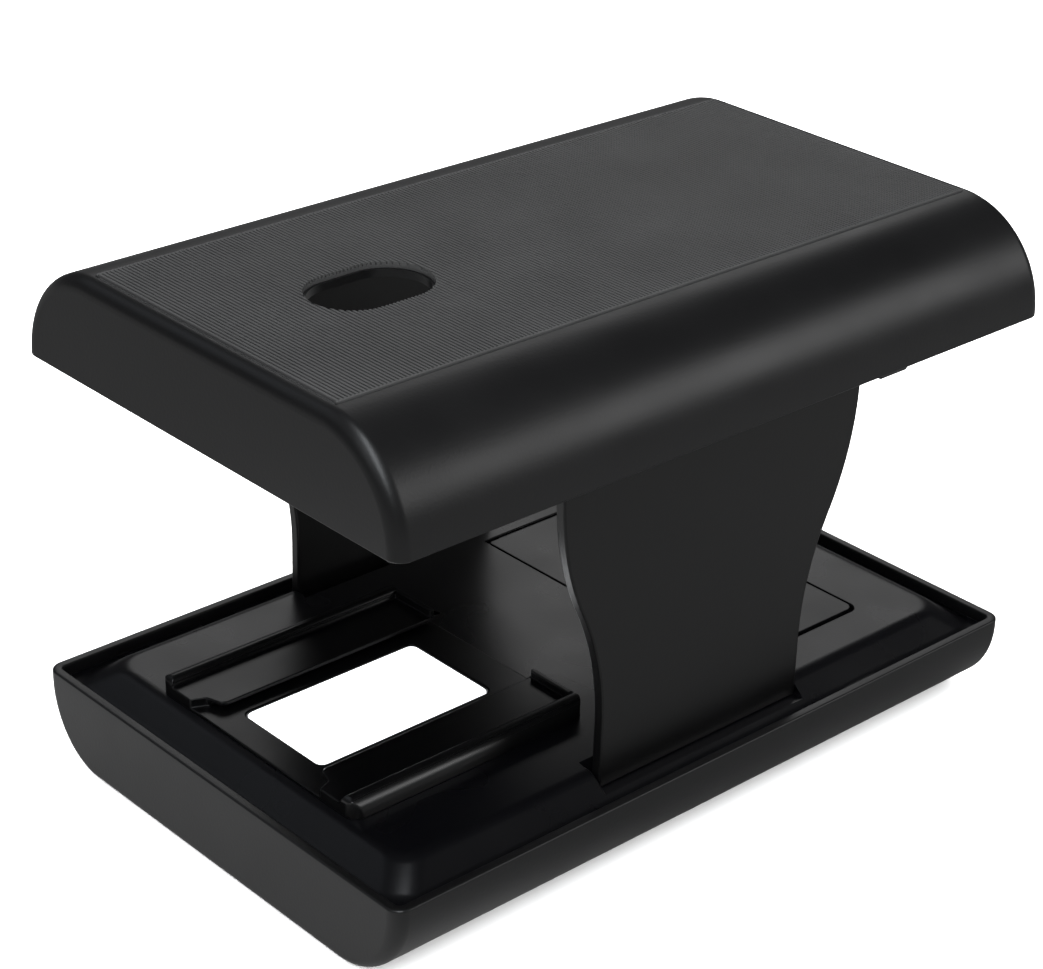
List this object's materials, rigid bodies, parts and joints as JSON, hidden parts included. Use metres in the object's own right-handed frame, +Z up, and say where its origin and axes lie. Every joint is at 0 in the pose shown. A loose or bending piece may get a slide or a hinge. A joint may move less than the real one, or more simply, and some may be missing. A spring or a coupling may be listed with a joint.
{
  "type": "film negative scanner",
  "caption": "Folding film and slide scanner: lit base tray with a film cradle, two curved folding legs and a hollow cover with a grip mat and camera aperture for a phone.",
  "frame": {"origin": "centre of the outline, on the surface that the rubber feet stand on", "axes": "+Z up; +X along the long axis, from the film entry end to the battery and switch end; +Y towards the back, away from the front leg"},
  "size_m": [0.161, 0.106, 0.1057],
  "materials": {
    "shell_plastic": "satin, very fine grain",
    "deck_plastic": "semi-gloss, faint grain",
    "leg_plastic": "satin, very fine grain",
    "inner_plastic": "as moulded",
    "knob_plastic": "as moulded",
    "catch_plastic": "as moulded",
    "mat_rubber": "ribbed, matt",
    "foot_rubber": "matt",
    "opal_acrylic": "opal, lit from below",
    "white_plastic": "matt white reflector",
    "white_board": "white solder mask",
    "led_lens": "clear yellow phosphor",
    "green_board": "green solder mask",
    "component_black": "moulded component bodies",
    "cell_sleeve": "plain shrink sleeve",
    "spring_steel": "bright",
    "plated_steel": "nickel plated",
    "lead_sheath": "smooth sheath"
  },
  "bodies": {
    "base": {"base_tub": "shell_plastic", "deck": "deck_plastic", "film_holder": "deck_plastic", "window_diffuser": "opal_acrylic", "light_box": "white_plastic", "led_board": "white_board", "leds": "led_lens", "battery_bay": "inner_plastic", "battery_cells": "cell_sleeve", "battery_springs": "spring_steel", "contact_plates": "plated_steel", "control_board": "green_board", "board_parts": "component_black", "switch_body": "inner_plastic", "power_leads": "lead_sheath", "deck_screws": "spring_steel", "rubber_feet": "foot_rubber"},
    "door": {"battery_door": "deck_plastic"},
    "switch": {"switch_knob": "knob_plastic"},
    "cover": {"cover_shell": "shell_plastic", "grip_mat": "mat_rubber", "closing_catches": "catch_plastic", "front_hinge_brackets": "inner_plastic", "back_hinge_brackets": "inner_plastic", "bracket_screws": "spring_steel"},
    "front_leg": {"front_leg": "leg_plastic", "front_leg_pins": "spring_steel"},
    "back_leg": {"back_leg": "leg_plastic", "back_leg_pins": "spring_steel"}
  },
  "joints": [
    {"name": "cover_lift", "type": "slide", "parent": "base", "child": "cover", "axis": [0, 0, 1], "range_m": [0, 0.13]},
    {"name": "front_leg_fold", "type": "hinge", "parent": "cover", "child": "front_leg", "pos_m": [0, -0.04435, 0.0954], "axis": [1, 0, 0], "range_deg": [0, 90]},
    {"name": "back_leg_fold", "type": "hinge", "parent": "cover", "child": "back_leg", "pos_m": [0, 0.04435, 0.0908], "axis": [-1, 0, 0], "range_deg": [0, 90]},
    {"name": "battery_door_hinge", "type": "hinge", "parent": "base", "child": "door", "pos_m": [0.0372, 0.0342, 0.0193], "axis": [-1, 0, 0], "range_deg": [0, 80]},
    {"name": "power_switch", "type": "slide", "parent": "base", "child": "switch", "axis": [0, -1, 0], "range_m": [0, 0.0036]}
  ],
  "couplings": [
    {"joint": "front_leg_fold", "follows": "cover_lift", "rad_per_m": 12.083},
    {"joint": "back_leg_fold", "follows": "cover_lift", "rad_per_m": 4.0276}
  ]
}
